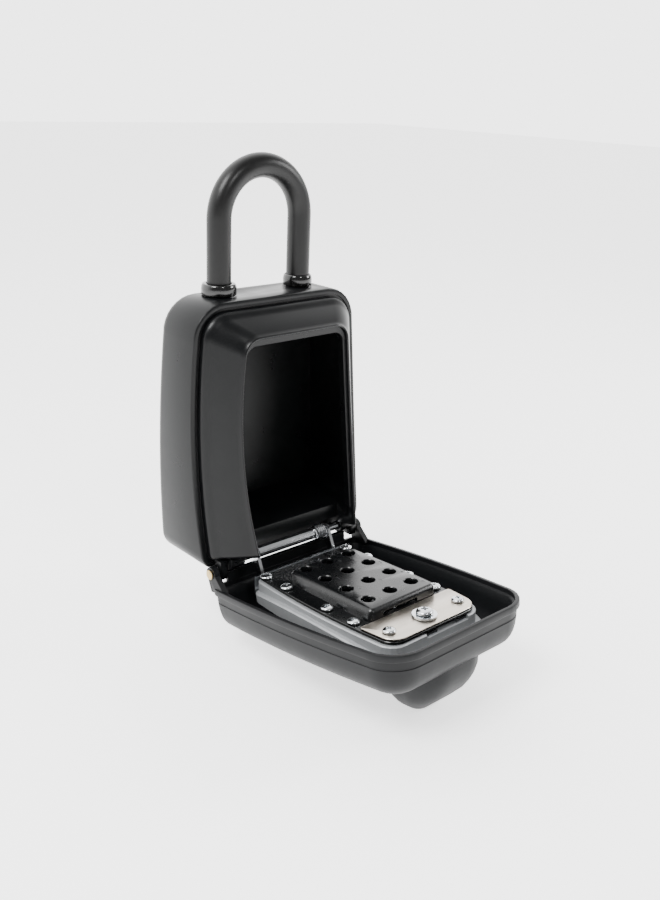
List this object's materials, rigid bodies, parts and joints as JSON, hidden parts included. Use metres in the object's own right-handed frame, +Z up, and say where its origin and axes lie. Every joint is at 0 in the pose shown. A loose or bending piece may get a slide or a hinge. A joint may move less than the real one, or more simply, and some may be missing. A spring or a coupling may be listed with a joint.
{
  "type": "key lock box",
  "caption": "Portable push-button key safe with a U shackle, its lock door and weather cover swung open, key cavity and lock mechanism exposed.",
  "frame": {"origin": "where the box hangs: the underside of the shackle's crown, on its centre line", "axes": "+Z up along the hanging case, -Y out of the case's mouth, +X to the right as seen from behind the opened door"},
  "size_m": [0.0904, 0.1405, 0.2006],
  "materials": {
    "case_paint": "satin black powder coat on die-cast zinc",
    "shackle_vinyl": "satin black vinyl dipped over steel rod",
    "collar_rubber": "glossy moulded sealing ring",
    "cast_zinc": "light grey zinc die casting, fine tumbled grain",
    "black_moulding": "semi-gloss moulded black plastic",
    "nickel_sheet": "nickel-plated sheet steel, faint rolling marks",
    "plated_steel": "bright zinc-plated steel",
    "soft_rubber": "soft-touch dark grey skin, matte black inside",
    "brass_pin": "turned brass",
    "spring_steel": "drawn spring wire"
  },
  "bodies": {
    "case": {"case_body": "case_paint", "cover_pin_left": "brass_pin", "cover_pin_right": "brass_pin", "door_hinge_pin": "plated_steel", "hinge_spring": "spring_steel", "hinge_tube": "plated_steel", "hinge_washer": "plated_steel", "shackle_collar_left": "collar_rubber", "shackle_collar_right": "collar_rubber", "strike_plate": "plated_steel"},
    "shackle": {"shackle": "shackle_vinyl"},
    "door": {"door_housing": "cast_zinc", "mechanism_cover": "black_moulding", "end_plate": "nickel_sheet", "hinge_bracket": "plated_steel", "end_plate_screw_left": "plated_steel", "end_plate_screw_right": "plated_steel", "flange_screw_left_1": "plated_steel", "flange_screw_left_2": "plated_steel", "flange_screw_left_3": "plated_steel", "flange_screw_left_4": "plated_steel", "flange_screw_right_1": "plated_steel", "flange_screw_right_2": "plated_steel", "flange_screw_right_3": "plated_steel", "flange_screw_right_4": "plated_steel"},
    "cover": {"weather_cover": "soft_rubber"},
    "knob": {"opening_knob": "black_moulding", "knob_screw": "plated_steel", "knob_washer": "plated_steel"},
    "latch": {"latch_plate": "plated_steel", "lock_slide": "plated_steel"},
    "clear": {"clear_slide": "black_moulding"},
    "button_0": {"button_0": "black_moulding"},
    "button_1": {"button_1": "black_moulding"},
    "button_2": {"button_2": "black_moulding"},
    "button_3": {"button_3": "black_moulding"},
    "button_4": {"button_4": "black_moulding"},
    "button_5": {"button_5": "black_moulding"},
    "button_6": {"button_6": "black_moulding"},
    "button_7": {"button_7": "black_moulding"},
    "button_8": {"button_8": "black_moulding"},
    "button_9": {"button_9": "black_moulding"},
    "button_a": {"button_a": "black_moulding"},
    "button_b": {"button_b": "black_moulding"}
  },
  "joints": [
    {"name": "door_hinge", "type": "hinge", "parent": "case", "child": "door", "pos_m": [0, -0.0252, -0.1529], "axis": [-1, 0, 0], "range_deg": [0, 93.8]},
    {"name": "cover_hinge", "type": "hinge", "parent": "case", "child": "cover", "pos_m": [0, -0.0235, -0.157], "axis": [-1, 0, 0], "range_deg": [0, 85.75]},
    {"name": "shackle_slide", "type": "slide", "parent": "case", "child": "shackle", "axis": [0, 0, 1], "range_m": [0, 0.01]},
    {"name": "knob_turn", "type": "hinge", "parent": "door", "child": "knob", "pos_m": [0, -0.10673, -0.16565], "axis": [0, 0.061, 0.9981], "range_deg": [0, 90]},
    {"name": "latch_slide", "type": "slide", "parent": "door", "child": "latch", "axis": [0, -0.9981, 0.061], "range_m": [0, 0.0044]},
    {"name": "clear_slide_press", "type": "slide", "parent": "door", "child": "clear", "axis": [0, 0.9981, -0.061], "range_m": [0, 0.003], "stiffness_N_per_m": 60, "springref_m": -0.002},
    {"name": "press_0", "type": "slide", "parent": "door", "child": "button_0", "axis": [0, 0.061, 0.9981], "range_m": [0, 0.0015], "stiffness_N_per_m": 150, "springref_m": -0.003},
    {"name": "press_1", "type": "slide", "parent": "door", "child": "button_1", "axis": [0, 0.061, 0.9981], "range_m": [0, 0.0015], "stiffness_N_per_m": 150, "springref_m": -0.003},
    {"name": "press_2", "type": "slide", "parent": "door", "child": "button_2", "axis": [0, 0.061, 0.9981], "range_m": [0, 0.0015], "stiffness_N_per_m": 150, "springref_m": -0.003},
    {"name": "press_3", "type": "slide", "parent": "door", "child": "button_3", "axis": [0, 0.061, 0.9981], "range_m": [0, 0.0015], "stiffness_N_per_m": 150, "springref_m": -0.003},
    {"name": "press_4", "type": "slide", "parent": "door", "child": "button_4", "axis": [0, 0.061, 0.9981], "range_m": [0, 0.0015], "stiffness_N_per_m": 150, "springref_m": -0.003},
    {"name": "press_5", "type": "slide", "parent": "door", "child": "button_5", "axis": [0, 0.061, 0.9981], "range_m": [0, 0.0015], "stiffness_N_per_m": 150, "springref_m": -0.003},
    {"name": "press_6", "type": "slide", "parent": "door", "child": "button_6", "axis": [0, 0.061, 0.9981], "range_m": [0, 0.0015], "stiffness_N_per_m": 150, "springref_m": -0.003},
    {"name": "press_7", "type": "slide", "parent": "door", "child": "button_7", "axis": [0, 0.061, 0.9981], "range_m": [0, 0.0015], "stiffness_N_per_m": 150, "springref_m": -0.003},
    {"name": "press_8", "type": "slide", "parent": "door", "child": "button_8", "axis": [0, 0.061, 0.9981], "range_m": [0, 0.0015], "stiffness_N_per_m": 150, "springref_m": -0.003},
    {"name": "press_9", "type": "slide", "parent": "door", "child": "button_9", "axis": [0, 0.061, 0.9981], "range_m": [0, 0.0015], "stiffness_N_per_m": 150, "springref_m": -0.003},
    {"name": "press_a", "type": "slide", "parent": "door", "child": "button_a", "axis": [0, 0.061, 0.9981], "range_m": [0, 0.0015], "stiffness_N_per_m": 150, "springref_m": -0.003},
    {"name": "press_b", "type": "slide", "parent": "door", "child": "button_b", "axis": [0, 0.061, 0.9981], "range_m": [0, 0.0015], "stiffness_N_per_m": 150, "springref_m": -0.003}
  ],
  "couplings": [
    {"joint": "cover_hinge", "follows": "door_hinge", "ratio": 0.9136},
    {"joint": "knob_turn", "follows": "latch_slide", "rad_per_m": 356.9}
  ]
}
